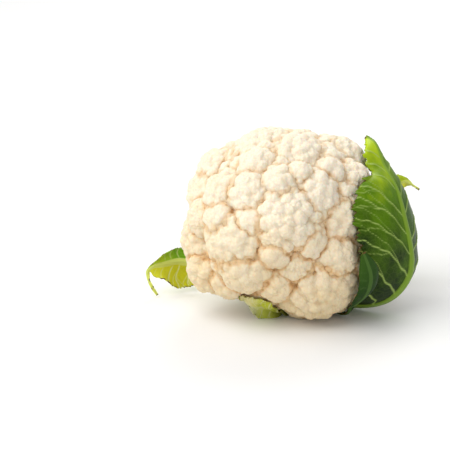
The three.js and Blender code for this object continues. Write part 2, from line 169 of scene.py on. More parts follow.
def all_florets():
    """The middle and radius of every floret: the front's, the back's, then the young ones."""
    florets = []
    for across, up, radius, out, side in FRONT_FLORETS:
        reach = (CURD_RADIUS - radius) * out
        depth = side * sqrt(max(0, reach**2 - across**2 - up**2))
        florets.append((CURD_MIDDLE + across * ACROSS + up * FACE_UP + depth * TO_VIEWER, radius))
    for n in range(BACK_TRIED):
        radius = varied(BACK_RADII, n)
        out = direction(CROWN, spiral_polar(n, BACK_TRIED, BACK_LIMIT), n * GOLDEN_ANGLE)
        middle = CURD_MIDDLE + out * (CURD_RADIUS - radius)
        if out @ LOW_FRONT > 0 and out[0] < SIDEWAYS:
            continue
        if all(np.linalg.norm(middle - m) > BACK_APART * (r + radius) for m, r in florets):
            florets.append((middle, radius))
    florets = [broad(middle, radius) for middle, radius in florets]
    for n in range(YOUNG_TRIED):
        radius = varied(YOUNG_RADII, n + 17)
        out = direction(CROWN, spiral_polar(n, YOUNG_TRIED, YOUNG_LIMIT), n * GOLDEN_ANGLE)
        if surface_along(out, florets) < YOUNG_BELOW:
            middle = CURD_MIDDLE + out * (YOUNG_TOP - radius)
            if all(np.linalg.norm(middle - m) > YOUNG_APART * max(r, radius) for m, r in florets):
                florets.append((middle, radius))
    return florets


FLORETS = all_florets()
FLORET_MIDDLES = np.array([middle for middle, _ in FLORETS])
FLORET_RADII = np.array([float(radius) for _, radius in FLORETS])

# A floret's ball is cut off where it is deep inside its neighbours or the heart of the curd
HEART_RADIUS = 66.0
BURIED, PROBE_LEVEL, PROBE_SIZE = 3.0, 4, 1.04
CUT_SPARE, CUT_LOWEST, CUT_HIGHEST = 0.1, -0.9, 0.8

# Buds sit on a golden spiral over each floret, further round it on the curd's underside
BUD_APART, BUD_CROWDING, BUD_PLUMP, BUD_SUNK = 12.5, 1.1, 0.64, 0.84
BUD_COVER, FEWEST_BUDS, LARGEST_BUD = 0.85, 6, 0.62
BUD_SIZES, BUD_DEPTHS, SPIRAL_START, SPIRAL_WOBBLE = (0.84, 0.34), (0.92, 0.16), 7, 0.5
BUDS_ABOVE, BUDS_BELOW, UNDERSIDE = radians(88), radians(115), 0.15

# Each bud is covered with smaller granules, which are little domes on a jittered grid
GRANULE, GRANULE_HEIGHT = 4.4, 1.1
GRANULE_SIZES, GRANULE_HEIGHTS = (0.85, 0.3), (0.5, 0.7)
DOME_WIDTH, DOME_LOWEST, DOME_LEVEL, ON_SHELL = 0.72, -0.1, 0.8, 0.999
CELL_MARGIN, CELL_KEY, CELL_STEP, CELL_SEEDS = 0.1, np.array([127.1, 311.7, 74.7]), 0.13, 977

# How far the painted shade of a crease reaches, and how strong it is: where a neighbour presses, down
# between buds, and between granules
PRESSED_WITHIN, PRESSED_SHARE = 2.4, 0.62
SUNK_WITHIN, SUNK_SHARE = 0.2, 0.3
SEAM_BELOW, SEAM_SHARE = 0.5, 0.3

# The largest florets of the front have the finest mesh
FINEST_ABOVE, FINE_ABOVE, FINEST, FINE, PLAIN = 36, 20, 7, 6, 5


def buried_share(index):
    """How far along its outward axis a floret's ball is all inside its neighbours, from -1 to 1."""
    middle, radius = FLORETS[index]
    probe = bmesh.new()
    bmesh.ops.create_icosphere(probe, subdivisions=PROBE_LEVEL, radius=1)
    rays = np.array([v.co[:] for v in probe.verts])
    probe.free()
    points = middle + rays * radius * PROBE_SIZE
    others = np.arange(len(FLORETS)) != index
    far = np.linalg.norm(points[:, None, :] - FLORET_MIDDLES[others][None], axis=2)
    shown = (far > FLORET_RADII[others] * BUD_SUNK - BURIED).all(axis=1)
    shown &= np.linalg.norm(points - CURD_MIDDLE, axis=1) > HEART_RADIUS - BURIED
    heights = (rays @ outward_of(middle))[shown]
    return max(CUT_LOWEST, heights.min() - CUT_SPARE) if len(heights) else CUT_HIGHEST


def buds_of(middle, radius, seed):
    """The directions, sizes and distances of the buds of one floret."""
    apex = outward_of(middle)
    cover = BUDS_ABOVE if apex @ CROWN > UNDERSIDE else BUDS_BELOW
    cap = 2 * pi * radius**2 * (1 - cos(cover))
    count = max(FEWEST_BUDS, round(cap / (BUD_COVER * BUD_APART**2)))
    spacing = sqrt(cap / (BUD_COVER * count))
    outs, sizes = [], []
    for k in range(count):
        share = ((k + 0.5) / count) ** BUD_CROWDING
        polar = np.arccos(1 - (1 - cos(cover)) * share)
        around = k * GOLDEN_ANGLE + SPIRAL_START * chance(seed) + SPIRAL_WOBBLE * chance(seed + k)
        outs.append(direction(apex, polar, around))
        sizes.append(min(LARGEST_BUD * radius, spacing * BUD_PLUMP * varied(BUD_SIZES, seed + k + 31)))
    sizes = np.array(sizes)
    return np.array(outs), sizes, radius - sizes * varied(BUD_DEPTHS, seed + np.arange(count) + 57)


def scattered(points, size, seed):
    """The distance from each point to the nearest of many scattered middles, about size apart."""
    cells = np.floor(points / size)
    nearest = np.full(len(points), np.inf)
    for step in product((-1, 0, 1), repeat=3):
        corner = cells + step
        key = corner @ CELL_KEY + seed
        jitter = np.stack([chance(key + CELL_STEP * axis) for axis in range(3)], axis=1)
        place = (corner + CELL_MARGIN + (1 - 2 * CELL_MARGIN) * jitter) * size
        nearest = np.minimum(nearest, np.linalg.norm(points - place, axis=1))
    return nearest


def finish_mesh(name, bm, material, node):
    """Makes a piece from a bmesh in millimetres, with its material, its body and the node it stands for."""
    mesh = bpy.data.meshes.new(name)
    bm.to_mesh(mesh)
    bm.free()
    mesh.transform(Matrix.Scale(MM, 4))
    mesh.shade_smooth()
    mesh.materials.append(material)
    piece = bpy.data.objects.new(name, mesh)
    bpy.context.scene.collection.objects.link(piece)
    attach(piece, "root")
    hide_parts(node)


def grow_floret(bm, index):
    """Adds one floret to a bmesh, as a ball pushed out to its buds and granules."""
    middle, radius = FLORETS[index]
    seed = 100 * index
    outward = outward_of(middle)
    in_front = outward @ TO_VIEWER > 0
    level = FINEST if radius > FINEST_ABOVE and in_front else FINE if radius > FINE_ABOVE else PLAIN
    hidden = buried_share(index) * outward
    ball = bmesh.new()
    bmesh.ops.create_icosphere(ball, subdivisions=level, radius=1)
    whole = ball.verts[:] + ball.edges[:] + ball.faces[:]
    cut = bmesh.ops.bisect_plane(ball, geom=whole, plane_co=hidden, plane_no=-outward, clear_outer=True)
    rim = [edge for edge in cut["geom_cut"] if isinstance(edge, bmesh.types.BMEdge)]
    bmesh.ops.holes_fill(ball, edges=rim)
    rays = np.array([v.co[:] for v in ball.verts])
    lengths = np.linalg.norm(rays, axis=1)
    rays = rays / lengths[:, None]
    outs, plump, at = buds_of(middle, radius, seed)
    along = rays @ outs.T * at
    inside = plump**2 - at**2 + along**2
    reach = np.where(inside > 0, along + np.sqrt(np.maximum(inside, 0)), 0)
    which = reach.argmax(axis=1)
    envelope = np.maximum(reach.max(axis=1), radius * BUD_SUNK)
    points = middle + rays * (envelope * lengths)[:, None]
    granule_size = GRANULE * varied(GRANULE_SIZES, seed + 5)
    gap = scattered(points, granule_size, seed % CELL_SEEDS)
    dome = np.clip(1 - (gap / (DOME_WIDTH * granule_size)) ** 2, DOME_LOWEST, 1)
    normals = points - (middle + outs[which] * at[which][:, None])
    normals /= np.linalg.norm(normals, axis=1)[:, None]
    strength = GRANULE_HEIGHT * varied(GRANULE_HEIGHTS, seed + which + 11)
    on_shell = (lengths > ON_SHELL).astype(float)
    points += normals * ((dome - DOME_LEVEL) * strength * on_shell)[:, None]
    points[:, 2] = np.maximum(points[:, 2], 0)

    # Painted shade: the crease value warms and darkens the curd's colour where a neighbour presses, down
    # between buds, and between granules
    others = np.arange(len(FLORETS)) != index
    far = np.linalg.norm(points[:, None, :] - FLORET_MIDDLES[others][None], axis=2) - FLORET_RADII[others]
    pressed = np.clip(1 - far.min(axis=1) / PRESSED_WITHIN, 0, 1)
    sunk = np.clip((radius - envelope) / (SUNK_WITHIN * radius), 0, 1)
    seam = np.clip(SEAM_BELOW - dome, 0, 1)
    crease = np.clip(PRESSED_SHARE * pressed**2 + SUNK_SHARE * sunk**2 + SEAM_SHARE * seam, 0, 1)
    layer = bm.verts.layers.float.get("crease") or bm.verts.layers.float.new("crease")
    grown = [bm.verts.new(point) for point in points]
    for vertex, value in zip(grown, crease):
        vertex[layer] = value
    ball.verts.index_update()
    for face in ball.faces:
        bm.faces.new([grown[v.index] for v in face.verts])
    ball.free()


def feed(tree, socket, value):
    """Gives an input a value, or links it to another node's output."""
    if isinstance(value, bpy.types.NodeSocket):
        tree.links.new(value, socket)
    else:
        socket.default_value = value


def linked(tree, kind, **inputs):
    """Adds a shader node and feeds its inputs."""
    node = tree.nodes.new(kind)
    for name, value in inputs.items():
        feed(tree, node.inputs[name.replace("_", " ")], value)
    return node


def fact_of(tree, name):
    """A value that the mesh carries at each of its points."""
    node = tree.nodes.new("ShaderNodeAttribute")
    node.attribute_name = name
    return node.outputs["Fac"]


MIX_SHARE, MIX_FIRST, MIX_SECOND, MIX_COLOUR = 0, 6, 7, 2


def mix_colours(tree, share, first, second):
    """A colour between two, as a share of the second."""
    node = tree.nodes.new("ShaderNodeMix")
    node.data_type = "RGBA"
    for n, value in ((MIX_SHARE, share), (MIX_FIRST, first), (MIX_SECOND, second)):
        feed(tree, node.inputs[n], value)
    return node.outputs[MIX_COLOUR]


def ranged(tree, value, low, high, at_low=0.0, at_high=1.0):
    """A value spread from one range to another, and held at its ends."""
    ends = {"From Min": low, "From Max": high, "To Min": at_low, "To Max": at_high}
    return linked(tree, "ShaderNodeMapRange", Value=value, **ends).outputs[0]


def math_of(tree, operation, first, second):
    """One value worked out from two, by a named operation."""
    node = tree.nodes.new("ShaderNodeMath")
    node.operation = operation
    feed(tree, node.inputs[0], first)
    feed(tree, node.inputs[1], second)
    return node.outputs[0]


def fresh_material(name):
    """A new material, its node tree and its shader."""
    material = bpy.data.materials.new(name)
    material.use_nodes = True
    return material, material.node_tree, material.node_tree.nodes["Principled BSDF"]


def bumped(tree, shader, height, strength, distance):
    """Feeds a relief to a shader as a bump."""
    bump = linked(tree, "ShaderNodeBump", Height=height, Strength=strength, Distance=distance)
    tree.links.new(bump.outputs[0], shader.inputs["Normal"])


def shader_group(name, inputs, outputs):
    """An empty node group with named sockets, its way in and its way out."""
    group = bpy.data.node_groups.new(name, "ShaderNodeTree")
    for word, kind in inputs.items():
        group.interface.new_socket(name=word, in_out="INPUT", socket_type=kind)
    for word, kind in outputs.items():
        group.interface.new_socket(name=word, in_out="OUTPUT", socket_type=kind)
    return group, group.nodes.new("NodeGroupInput").outputs, group.nodes.new("NodeGroupOutput").inputs


def placed(tree, group, **values):
    """Places a group in a material with its own values."""
    node = tree.nodes.new("ShaderNodeGroup")
    node.node_tree = group
    for word, value in values.items():
        node.inputs[word.replace("_", " ")].default_value = value
    return node


VALUE, COLOUR = "NodeSocketFloat", "NodeSocketColor"


def mottle_group():
    """Broad soft patches and a fine grain, which all the flesh and skin of the plant has."""
    group, given, made = shader_group(
        "mottle",
        {"Patch Scale": VALUE, "Grain Scale": VALUE},
        {"Patches": VALUE, "Grain": VALUE},
    )
    place = group.nodes.new("ShaderNodeTexCoord").outputs["Object"]
    patches = linked(group, "ShaderNodeTexNoise", Vector=place, Scale=given["Patch Scale"], Detail=4.0)
    grain = linked(group, "ShaderNodeTexNoise", Vector=place, Scale=given["Grain Scale"], Detail=3.0)
    group.links.new(patches.outputs[0], made["Patches"])
    group.links.new(grain.outputs[0], made["Grain"])
    return group


MOTTLE = mottle_group()


def curd_finish():
    """Cream flower tissue: a fine grain of flower buds, with painted shade warmer and browner in the
    creases.
    """
    cream, warm_shade, tan_shade = (0.76, 0.62, 0.38, 1), (0.74, 0.48, 0.24, 1), (0.45, 0.22, 0.07, 1)
    # The white is painted light, which whitens the florets towards the top
    white = (0.87, 0.79, 0.64, 1)
    material, tree, shader = fresh_material("curd")
    place = tree.nodes.new("ShaderNodeTexCoord").outputs["Object"]
    crease = fact_of(tree, "crease")
    mottle = placed(tree, MOTTLE, Patch_Scale=35.0, Grain_Scale=1400.0)
    patches, fine = mottle.outputs["Patches"], mottle.outputs["Grain"]
    grain = linked(tree, "ShaderNodeTexVoronoi", Vector=place, Scale=480.0, Randomness=0.9)
    grain = grain.outputs["Distance"]

    # Painted light: the florets are whiter towards the top, and the painted shade in their creases is
    # weaker there
    above = linked(tree, "ShaderNodeSeparateXYZ", Vector=place).outputs["Z"]
    uneven = math_of(tree, "SUBTRACT", patches, 0.5)
    painted_top_light_and_patches = math_of(tree, "ADD", ranged(tree, above, 0.01, 0.13), uneven)
    base = mix_colours(tree, painted_top_light_and_patches, cream, white)
    # Painted shade: the curd is warmer between its granules
    base = mix_colours(tree, ranged(tree, grain, 0.45, 0.95, 0, 0.3), base, warm_shade)
    shade_fading_up_top = ranged(tree, above, 0.05, 0.15, 1, 0.5)
    # Painted shade: warmer in the creases, less so towards the top, and tan in the deepest
    crease_shade_share = math_of(tree, "MULTIPLY", ranged(tree, crease, 0.12, 0.75), shade_fading_up_top)
    base = mix_colours(tree, crease_shade_share, base, warm_shade)
    base = mix_colours(tree, ranged(tree, crease, 0.7, 1), base, tan_shade)
    tree.links.new(base, shader.inputs["Base Color"])
    height = math_of(tree, "MULTIPLY", grain, -1.0)
    height = math_of(tree, "ADD", height, math_of(tree, "MULTIPLY", fine, 0.35))
    bumped(tree, shader, height, 0.6, 0.0008)
    shader.inputs["Roughness"].default_value = 0.62
    shader.inputs["Specular IOR Level"].default_value = 0.25
    shader.inputs["Subsurface Weight"].default_value = 0.25
    shader.inputs["Subsurface Radius"].default_value = (1.0, 0.6, 0.3)
    shader.inputs["Subsurface Scale"].default_value = 0.005
    return material


CURD = curd_finish()

# The florets are made in clusters, and each cluster is one piece
FLORETS_A_PIECE = 9
for first in range(0, len(FLORETS), FLORETS_A_PIECE):
    cluster = bmesh.new()
    for index in range(first, min(first + FLORETS_A_PIECE, len(FLORETS))):
        grow_floret(cluster, index)
    finish_mesh(f"florets_{first // FLORETS_A_PIECE + 1}", cluster, CURD, "curd")


# The heart of the curd is the mass of white branches that carries the florets. Below the curd its lowest
# branches show as smooth pale arms that run from the stalk out to the lowest florets.

# Branches run from a foot below the curd's middle to the florets that are this low, and narrow upwards
BRANCH_FROM, BRANCH_ROOT, BRANCH_TOP, BRANCH_LOWEST, BRANCH_SIDES = 30.0, 13.0, 9.0, 0.1, 24

# The heart is a ball with low uneven lumps
HEART_LEVEL, LUMP_HEIGHT, LUMP_RATES = 5, 2.5, (0.11, 0.13, 0.12)


def branch_finish():
    """Smooth white-green flesh with faint lengthwise veins."""
    white, green = (0.8, 0.77, 0.58, 1), (0.6, 0.66, 0.36, 1)
    material, tree, shader = fresh_material("branches")
    mottle = placed(tree, MOTTLE, Patch_Scale=28.0, Grain_Scale=400.0)
    patches, grain = mottle.outputs["Patches"], mottle.outputs["Grain"]
    tree.links.new(mix_colours(tree, patches, white, green), shader.inputs["Base Color"])
    bumped(tree, shader, grain, 0.2, 0.0008)
    shader.inputs["Roughness"].default_value = 0.5
    shader.inputs["Subsurface Weight"].default_value = 0.12
    shader.inputs["Subsurface Radius"].default_value = (1.0, 0.7, 0.35)
    shader.inputs["Subsurface Scale"].default_value = 0.004
    return material


heart = bmesh.new()
bmesh.ops.create_icosphere(
    heart, subdivisions=HEART_LEVEL, radius=HEART_RADIUS, matrix=Matrix.Translation(CURD_MIDDLE)
)
for vertex in heart.verts:
    out = (vertex.co - Vector(CURD_MIDDLE)).normalized()
    x, y, z = (rate * along for rate, along in zip(LUMP_RATES, vertex.co))
    lump = LUMP_HEIGHT * sin(x + 1) * sin(y) * sin(z)
    vertex.co += out * lump
foot = CURD_MIDDLE - BRANCH_FROM * CROWN
for middle, radius in FLORETS:
    if outward_of(middle) @ CROWN < BRANCH_LOWEST:
        line = Vector(middle - foot)
        turn = Vector((0, 0, 1)).rotation_difference(line.normalized()).to_matrix().to_4x4()
        bmesh.ops.create_cone(
            heart,
            cap_ends=True,
            segments=BRANCH_SIDES,
            radius1=BRANCH_ROOT,
            radius2=BRANCH_TOP,
            depth=line.length,
            matrix=Matrix.Translation(foot + np.array(line) / 2) @ turn,
        )
finish_mesh("curd_branches", heart, branch_finish(), "curd")


# The stalk is the thick stem that the curd grew on, cut off flat with a knife. The butts of the leaves
# that were trimmed off stand round it, cut short, and its own cut face is pale, with a stained rim.

# Both ends are given as lengths down from the curd's middle. The cut face has a stained rim.
STALK_TOP, STALK_END, STALK_RADIUS, STALK_FLARE, STALK_BEVEL = 40.0, 90.0, 19.0, 25.0, 1.5
STALK_STEPS, RIM_WIDTH, RIM_DEPTH, CUT_DEPTH = 96, 3.0, 2.0, 0.3

# Each butt grows from inside the stalk, leans out from it and is wider at its cut end
BUTT_COUNT, BUTT_LENGTH, BUTT_WIDE, BUTT_THICK, BUTT_LEAN = 7, 26.0, 11.0, 6.0, radians(36)
BUTT_DOWN, BUTT_SPREAD, BUTT_INSIDE, BUTT_NARROW = 72.0, 6.0, 5.0, 0.8
BUTT_SIZES, BUTT_SIDES, BUTT_BEVEL = (0.8, 0.4), 40, 0.8

# The stalk is made upright about its own axis, and then laid along the curd's
ALONG_STALK = (
    Matrix.Translation(CURD_MIDDLE)
    @ Vector((0, 1, 0)).rotation_difference(Vector(CROWN)).to_matrix().to_4x4()
)


def stalk_finish():
    """Pale green skin, whiter where it is cut, with a brown stain at the cut's edges."""
    skin, pale_skin = (0.58, 0.66, 0.33, 1), (0.72, 0.76, 0.48, 1)
    pith, stain = (0.82, 0.8, 0.6, 1), (0.5, 0.36, 0.16, 1)
    material, tree, shader = fresh_material("stalk")
    mottle = placed(tree, MOTTLE, Patch_Scale=45.0, Grain_Scale=300.0)
    patches, grain = mottle.outputs["Patches"], mottle.outputs["Grain"]
    mottled = mix_colours(tree, patches, skin, pale_skin)
    base = mix_colours(tree, fact_of(tree, "cut"), mottled, pith)
    stained = math_of(tree, "MULTIPLY", fact_of(tree, "rim"), patches)
    base = mix_colours(tree, stained, base, stain)
    tree.links.new(base, shader.inputs["Base Color"])
    bumped(tree, shader, grain, 0.3, 0.0008)
    shader.inputs["Roughness"].default_value = 0.5
    return material


# The stalk's outline from the middle of its cut end, round its flare, to its top inside the curd
profile = [
    (0, -STALK_END),
    (STALK_RADIUS - STALK_BEVEL - 4, -STALK_END),
    (STALK_RADIUS - STALK_BEVEL, -STALK_END),
    (STALK_RADIUS, -STALK_END + STALK_BEVEL),
    (STALK_RADIUS + 0.4, -STALK_END + 9),
    (STALK_RADIUS + 1, -(STALK_TOP + STALK_END) / 2),
    (STALK_FLARE - 2, -STALK_TOP - 14),
    (STALK_FLARE, -STALK_TOP - 8),
    (STALK_FLARE - 6, -STALK_TOP),
    (0, -STALK_TOP),
]
stalk = bmesh.new()
corners = [stalk.verts.new((x, y, 0)) for x, y in profile]
line = [stalk.edges.new(pair) for pair in zip(corners, corners[1:])]
bmesh.ops.spin(
    stalk,
    geom=corners + line,
    axis=(0, 1, 0),
    cent=(0, 0, 0),
    angle=2 * pi,
    steps=STALK_STEPS,
    use_merge=True,
)
bmesh.ops.remove_doubles(stalk, verts=stalk.verts, dist=0.001)
bmesh.ops.recalc_face_normals(stalk, faces=stalk.faces)
for n in range(BUTT_COUNT):
    size = varied(BUTT_SIZES, n + 60)
    length = BUTT_LENGTH * size
    place = (
        Matrix.Rotation(n * 2 * pi / BUTT_COUNT, 4, "Y")
        @ Matrix.Translation((0, varied((-BUTT_DOWN, BUTT_SPREAD), n + 80), STALK_RADIUS - BUTT_INSIDE))
        @ Matrix.Rotation(BUTT_LEAN, 4, "X")
        @ Matrix.Translation((0, length / 2, 0))
        @ Matrix.Diagonal((1, 1, BUTT_THICK / BUTT_WIDE, 1))
        @ Matrix.Rotation(-pi / 2, 4, "X")
    )
    butt = bmesh.ops.create_cone(
        stalk,
        cap_ends=True,
        segments=BUTT_SIDES,
        radius1=BUTT_WIDE * BUTT_NARROW,
        radius2=BUTT_WIDE * size,
        depth=length,
        matrix=place,
    )
    edges = {edge for vertex in butt["verts"] for edge in vertex.link_edges}
    rims = [edge for edge in edges if max(len(face.verts) for face in edge.link_faces) > 4]
    bmesh.ops.bevel(
        stalk, geom=rims, offset=BUTT_BEVEL, segments=2, profile=0.5, affect="EDGES", material=-1
    )
bmesh.ops.transform(stalk, matrix=ALONG_STALK, verts=stalk.verts)
cut_layer = stalk.verts.layers.float.new("cut")
rim_layer = stalk.verts.layers.float.new("rim")
for vertex in stalk.verts:
    down = -float((np.array(vertex.co) - CURD_MIDDLE) @ CROWN)
    off = float(np.linalg.norm(np.array(vertex.co) - CURD_MIDDLE + down * CROWN))
    vertex[cut_layer] = float(down > STALK_END - CUT_DEPTH)
    vertex[rim_layer] = float(down > STALK_END - RIM_DEPTH and off > STALK_RADIUS - RIM_WIDTH)
    vertex.co.z = max(vertex.co.z, 0.0)
finish_mesh("cut_stalk", stalk, stalk_finish(), "stalk")


# The leaves grow from the foot of the stalk. Each is a thin crisp blade with a cut edge, a thick pale
# midrib that is raised on its outer face, and pale side veins that fork on their way to the edge.

# A blade's thickness, and its stem's, which ends a third of the way up and stands out less on the inner
# face. The midrib takes up at most this share of a narrow blade, and is lower at the tip.
BLADE, PETIOLE, PETIOLE_ENDS, PETIOLE_INSIDE = 1.0, 3.5, 0.3, 0.7
RIB_SHARE, RIB_TAPER = 0.6, 0.8

# A leaf is held off the florets by this much
CLEAR = 1.6

# The edge has teeth with smaller teeth on them, cut into the outer quarter, and its tip is torn deeper
SMALL_TEETH, RAGGED_STEPS, TEETH_FROM = 3.3, 160, 0.75
BIG_BITE, SMALL_BITE, RAGGED_BITE = 0.75, 0.35, 0.35
TORN_FROM, TORN_OVER, TORN_BY = 0.76, 0.08, 1.6

# Side veins leave the midrib at even steps, climb towards the tip and waver. Each forks once towards the
# tip and, further out, once away from it, in thinner and fainter veins. Narrow parts have none.
VEIN_JITTER, VEIN_WIDTH, VEIN_TAPER, VEIN_SLANT, VEIN_CLIMB, VEIN_BEND = 0.35, 0.85, 0.5, 0.8, 0.85, 1.8
VEIN_WAVES, VEIN_PHASE = ((1.3, 5, 3), (0.6, 2.1, 5)), 6
FORK_PLACES, FORK_BEND, FORK_THIN, FORK_FAINT = (0.25, 0.2), 0.004, 0.75, 0.6
FORKS = ((0.5, 1), (-0.45, 1.6))
NARROW = 8

# The blade is blistered between its veins, but flat along the midrib and nearly flat at its edge
QUILT, QUILT_DEPTH, VEIN_LIFT = 9.0, 0.5, 0.9
RIB_CLEAR, RIB_FADE, EDGE_FADE, EDGE_RELIEF = 6, 8, 0.12, 0.2

# Where the colours of the midrib, of the veins beside it, and of a dry edge and tip begin
RIB_PALE, VEIN_CLEAR, VEIN_FADE = 1.6, 2, 3
DRY_POWER, DRY_FROM, DRY_OVER, DRY_TIP = 6, 0.95, 0.04, 1.2


def curve_through(points, count):
    """Evenly stepped places on a centripetal Catmull-Rom curve through some points."""
    points = np.array(points, float)
    points = np.vstack([2 * points[0] - points[1], points, 2 * points[-1] - points[-2]])
    places = []
    for step in range(count + 1):
        at = step / count * (len(points) - 3)
        i = min(int(at), len(points) - 4)
        a, b, c, d = points[i : i + 4]
        t0, t1, t2 = (max(1e-4, np.linalg.norm(q - p) ** 0.5) for p, q in ((a, b), (b, c), (c, d)))
        m1 = ((b - a) / t0 - (c - a) / (t0 + t1) + (c - b) / t1) * t1
        m2 = ((c - b) / t1 - (d - b) / (t1 + t2) + (d - c) / t2) * t1
        u = at - i
        places.append(
            b + m1 * u + (-3 * b + 3 * c - 2 * m1 - m2) * u**2 + (2 * b - 2 * c + m1 + m2) * u**3
        )
    return np.array(places)


def from_face(points):
    """Places given across, up and out of the front's own plane, from the curd's middle."""
    return [CURD_MIDDLE + a * ACROSS + u * FACE_UP + d * TO_VIEWER for a, u, d in points]


def clear_of_curd(points):
    """Moves points straight out from the curd's middle until they clear every floret."""
    out = points - CURD_MIDDLE
    far = np.linalg.norm(out, axis=1)
    out = out / far[:, None]
    least = far.copy()
    for middle, radius in FLORETS:
        to = middle - CURD_MIDDLE
        along = out @ to
        inside = (radius + CLEAR) ** 2 - to @ to + along**2
        root = np.sqrt(np.maximum(inside, 0))
        hit = (inside > 0) & (far > along - root)
        least = np.where(hit, np.maximum(least, along + root), least)
    return CURD_MIDDLE + out * least[:, None]


def rise(value, start, over):
    """0 up to a start, and from there up to 1 over a length."""
    return np.clip((value - start) / over, 0, 1)


def side_veins(along, off, width, spacing, seed):
    """How strongly each point of a half blade lies on a side vein, from 0 to 1."""
    strength = np.zeros_like(along)
    for k in range(-2, int(along.max() / spacing) + 1):
        start = (k + VEIN_JITTER * (chance(seed + k) - 0.5)) * spacing
        fork = width * varied(FORK_PLACES, seed + k + 9)
        slope = VEIN_CLIMB * (off - off**2 / (VEIN_BEND * width))
        for height, run, draw in VEIN_WAVES:
            slope += height * np.sin(off / run + VEIN_PHASE * chance(seed + k + draw))
        thick = VEIN_WIDTH * (1 - VEIN_TAPER * off / width)
        gap = np.abs(along - start - slope) * VEIN_SLANT
        strength = np.maximum(strength, np.exp(-((gap / thick) ** 2)))
        for turn, later in FORKS:
            late = fork * later
            away = np.maximum(0, off - late)
            gap = np.abs(along - start - slope - turn * away + FORK_BEND * turn * away**2) * VEIN_SLANT
            branch = np.exp(-((gap / (FORK_THIN * thick)) ** 2)) * (off > late) * FORK_FAINT
            strength = np.maximum(strength, branch)
    return strength


